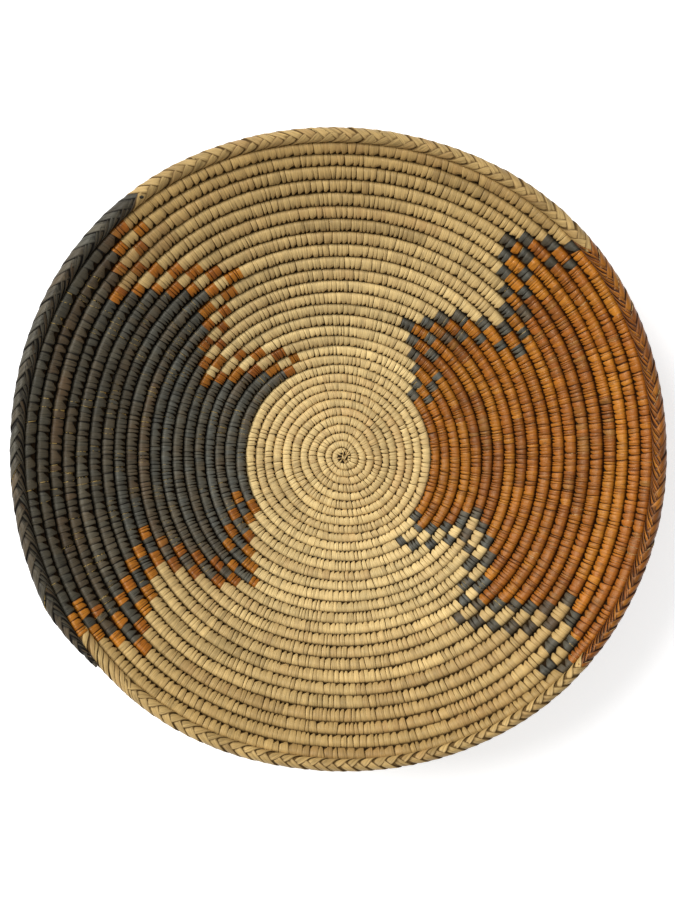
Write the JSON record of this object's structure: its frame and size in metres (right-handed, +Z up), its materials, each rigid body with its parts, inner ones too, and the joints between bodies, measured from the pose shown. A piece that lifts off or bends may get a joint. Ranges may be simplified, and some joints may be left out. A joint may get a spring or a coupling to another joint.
{
  "type": "coiled basket bowl",
  "caption": "Round coiled basket bowl of leaf-wrapped grass coil, with stepped dark and rust side fields, a flat base, a sloping wall and a braided rim.",
  "frame": {"origin": "on the underside of the base, under the start knot, where the coil begins", "axes": "+Z up, out of the bowl's mouth; +X to the middle of the rust field, -X to the middle of the dark field, +Y across one of the two natural fields"},
  "size_m": [0.422, 0.4106, 0.0975],
  "materials": {
    "natural_leaf": "satin undyed leaf strip",
    "dark_leaf": "satin dark dyed leaf strip",
    "rust_leaf": "satin rust dyed leaf strip",
    "start_knot": "matt twisted leaf",
    "natural_braid": "satin undyed braid",
    "rust_braid": "satin rust dyed braid",
    "dark_braid": "satin dark dyed braid"
  },
  "bodies": {
    "root": {"start_knot": "start_knot", "base_coil": "natural_leaf", "wall_coil": "natural_leaf", "dark_wrap_01": "dark_leaf", "dark_wrap_02": "dark_leaf", "dark_wrap_03": "dark_leaf", "dark_wrap_04": "dark_leaf", "dark_wrap_05": "dark_leaf", "dark_wrap_06": "dark_leaf", "dark_wrap_07": "dark_leaf", "dark_wrap_08": "dark_leaf", "dark_wrap_09": "dark_leaf", "dark_wrap_10": "dark_leaf", "dark_wrap_11": "dark_leaf", "dark_wrap_12": "dark_leaf", "dark_wrap_13": "dark_leaf", "dark_wrap_14": "dark_leaf", "dark_wrap_15": "dark_leaf", "dark_wrap_16": "dark_leaf", "dark_wrap_17": "dark_leaf", "dark_wrap_18": "dark_leaf", "dark_wrap_19": "dark_leaf", "rust_wrap_01": "rust_leaf", "rust_wrap_02": "rust_leaf", "rust_wrap_03": "rust_leaf", "rust_wrap_04": "rust_leaf", "rust_wrap_05": "rust_leaf", "rust_wrap_06": "rust_leaf", "rust_wrap_07": "rust_leaf", "rust_wrap_08": "rust_leaf", "rust_wrap_09": "rust_leaf", "rust_wrap_10": "rust_leaf", "rust_wrap_11": "rust_leaf", "rust_wrap_12": "rust_leaf", "rust_wrap_13": "rust_leaf", "rust_wrap_14": "rust_leaf", "rust_wrap_15": "rust_leaf", "rust_wrap_16": "rust_leaf", "rust_wrap_17": "rust_leaf", "rust_wrap_18": "rust_leaf", "rust_wrap_19": "rust_leaf", "rim_braid_natural_bottom": "natural_braid", "rim_braid_rust_right": "rust_braid", "rim_braid_natural_top": "natural_braid", "rim_braid_dark_left": "dark_braid"}
  },
  "joints": []
}
